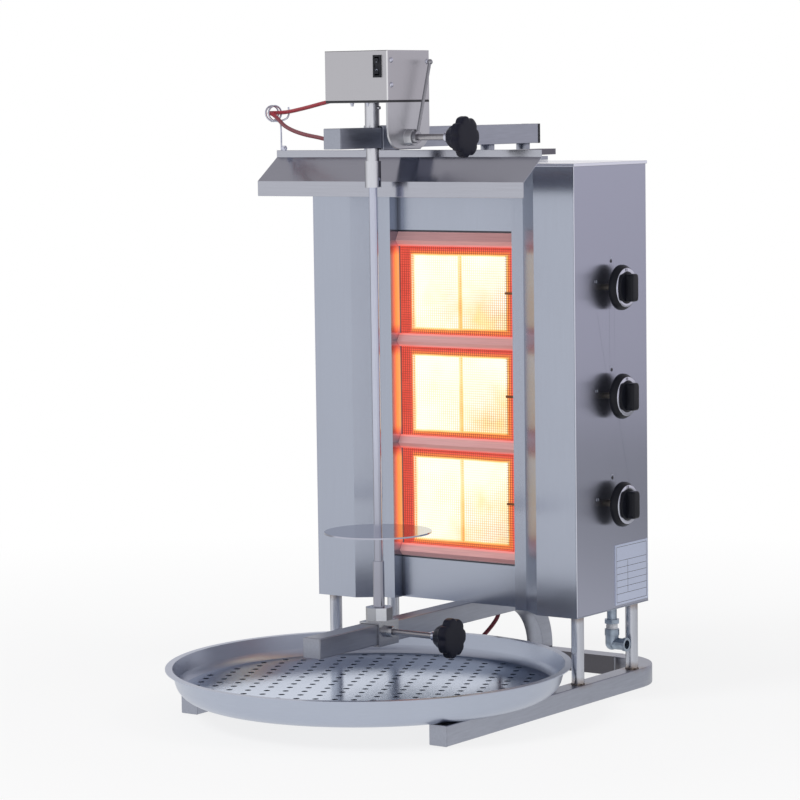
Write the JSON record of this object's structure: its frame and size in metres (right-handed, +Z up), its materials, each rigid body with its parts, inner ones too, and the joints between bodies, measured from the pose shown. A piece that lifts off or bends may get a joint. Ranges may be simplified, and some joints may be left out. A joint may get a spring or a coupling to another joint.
{
  "type": "doner kebab grill",
  "caption": "Counter-top gas doner kebab grill: a steel cabinet with stacked ceramic burners, a motor-driven upright spit, a hood, control knobs and a round drip pan under the spit.",
  "frame": {"origin": "on the surface it stands on, at the centre of the model's box seen from above, without the mains lead", "axes": "+X to the right of someone facing the burners, +Y from the drip pan to the back of the cabinet, +Z up"},
  "size_m": [0.5018, 0.651, 0.8137],
  "materials": {
    "tube_steel": "ground stainless tube",
    "cabinet_steel": "fine brushed stainless sheet",
    "head_steel": "brushed stainless sheet",
    "bright_steel": "polished",
    "label_foil": "plain foil",
    "bar_steel": "heat-tinted",
    "burner_case": "heat-stained steel",
    "ceramic_tile": "glowing, drilled ceramic",
    "gauze": "hot wire gauze",
    "brass": "turned",
    "galvanised": "zinc plated",
    "knob_black": "glossy moulded",
    "switch_black": "moulded",
    "motor_casting": "die cast",
    "pan_steel": "satin pressed sheet",
    "plate_steel": "mirror polished sheet",
    "lead_red": "silicone sheath"
  },
  "bodies": {
    "root": {"base_rail_right": "tube_steel", "base_rail_left": "tube_steel", "base_cross_tube": "tube_steel", "tube_end_caps": "tube_steel", "legs": "tube_steel", "lower_arm": "tube_steel", "upper_arm": "tube_steel", "saddle": "tube_steel", "hood_straps": "tube_steel", "front_panel_right": "cabinet_steel", "front_panel_left": "cabinet_steel", "side_panel_right": "cabinet_steel", "side_panel_left": "cabinet_steel", "back_panel": "cabinet_steel", "floor_panel": "cabinet_steel", "top_lid": "cabinet_steel", "hood_sheet": "cabinet_steel", "burner_fascia": "cabinet_steel", "back_screws": "bright_steel", "wire_guide": "bright_steel", "flame_probes": "bright_steel", "label_plate": "label_foil", "burner_bars": "bar_steel", "burner_bodies": "burner_case", "venturi_tubes": "burner_case", "burner_tiles": "ceramic_tile", "burner_guards": "gauze", "valve_bodies": "brass", "gas_pipes": "brass", "gas_manifold": "galvanised", "inlet_nipple": "galvanised", "inlet_elbow": "galvanised", "arm_end_plug": "switch_black", "mains_gland": "switch_black", "mains_plug": "switch_black", "mains_lead": "lead_red", "mains_coil": "lead_red", "motor_lead": "lead_red"},
    "upper_carriage": {"upper_sleeve": "tube_steel", "motor_bracket": "head_steel", "gear_motor": "motor_casting", "motor_cover": "head_steel", "cover_screws": "bright_steel", "switch_housing": "switch_black"},
    "power_rocker": {"rocker": "switch_black"},
    "clamp_lever": {"lock_lever": "bright_steel"},
    "upper_clamp": {"upper_star_knob": "knob_black"},
    "drive": {"drive_sleeve": "bright_steel"},
    "lower_carriage": {"lower_sleeve": "tube_steel"},
    "lower_clamp": {"lower_star_knob": "knob_black"},
    "spit": {"spit_rod": "bright_steel", "spit_disc": "bright_steel"},
    "drip_pan": {"pan": "pan_steel"},
    "drip_plate": {"sieve_plate": "plate_steel"},
    "tap_push_bottom": {"knob_stem_bottom": "brass"},
    "tap_knob_bottom": {"gas_knob_bottom": "knob_black"},
    "tap_push_middle": {"knob_stem_middle": "brass"},
    "tap_knob_middle": {"gas_knob_middle": "knob_black"},
    "tap_push_top": {"knob_stem_top": "brass"},
    "tap_knob_top": {"gas_knob_top": "knob_black"}
  },
  "joints": [
    {"name": "upper_carriage_slide", "type": "slide", "parent": "root", "child": "upper_carriage", "axis": [0, -1, 0], "range_m": [-0.014, 0.055]},
    {"name": "lower_carriage_slide", "type": "slide", "parent": "root", "child": "lower_carriage", "axis": [0, -1, 0], "range_m": [-0.014, 0.055]},
    {"name": "drive_turn", "type": "hinge", "parent": "upper_carriage", "child": "drive", "pos_m": [0, -0.05105, 0.7], "axis": [0, 0, 1], "continuous": true},
    {"name": "spit_turn", "type": "hinge", "parent": "lower_carriage", "child": "spit", "pos_m": [0, -0.05105, 0.3], "axis": [0, 0, 1], "continuous": true},
    {"name": "rocker_tilt", "type": "hinge", "parent": "upper_carriage", "child": "power_rocker", "pos_m": [0.0322, -0.07805, 0.7945], "axis": [1, 0, 0], "range_deg": [-10, 10]},
    {"name": "lever_swing", "type": "hinge", "parent": "upper_carriage", "child": "clamp_lever", "pos_m": [0.0595, -0.04105, 0.7085], "axis": [1, 0, 0], "range_deg": [-60, 45]},
    {"name": "upper_clamp_turn", "type": "hinge", "parent": "upper_carriage", "child": "upper_clamp", "pos_m": [0.1, -0.04105, 0.7085], "axis": [1, 0, 0], "range_deg": [-300, 15]},
    {"name": "lower_clamp_turn", "type": "hinge", "parent": "lower_carriage", "child": "lower_clamp", "pos_m": [0.06, -0.05205, 0.1], "axis": [1, 0, 0], "range_deg": [-300, 15]},
    {"name": "pan_slide", "type": "slide", "parent": "root", "child": "drip_pan", "axis": [0, -1, 0], "range_m": [0, 0.11]},
    {"name": "plate_lift", "type": "slide", "parent": "drip_pan", "child": "drip_plate", "axis": [0, 0, 1], "range_m": [0, 0.03]},
    {"name": "tap_push_bottom_in", "type": "slide", "parent": "root", "child": "tap_push_bottom", "axis": [-1, 0, 0], "range_m": [0, 0.0025], "stiffness_N_per_m": 400},
    {"name": "tap_knob_bottom_turn", "type": "hinge", "parent": "tap_push_bottom", "child": "tap_knob_bottom", "pos_m": [0.22, 0.17745, 0.2454], "axis": [1, 0, 0], "range_deg": [-90, 90]},
    {"name": "tap_push_middle_in", "type": "slide", "parent": "root", "child": "tap_push_middle", "axis": [-1, 0, 0], "range_m": [0, 0.0025], "stiffness_N_per_m": 400},
    {"name": "tap_knob_middle_turn", "type": "hinge", "parent": "tap_push_middle", "child": "tap_knob_middle", "pos_m": [0.22, 0.17745, 0.3814], "axis": [1, 0, 0], "range_deg": [-90, 90]},
    {"name": "tap_push_top_in", "type": "slide", "parent": "root", "child": "tap_push_top", "axis": [-1, 0, 0], "range_m": [0, 0.0025], "stiffness_N_per_m": 400},
    {"name": "tap_knob_top_turn", "type": "hinge", "parent": "tap_push_top", "child": "tap_knob_top", "pos_m": [0.22, 0.17745, 0.5175], "axis": [1, 0, 0], "range_deg": [-90, 90]}
  ],
  "couplings": [
    {"joint": "lower_carriage_slide", "follows": "upper_carriage_slide", "ratio": 1},
    {"joint": "spit_turn", "follows": "drive_turn", "ratio": 1}
  ]
}
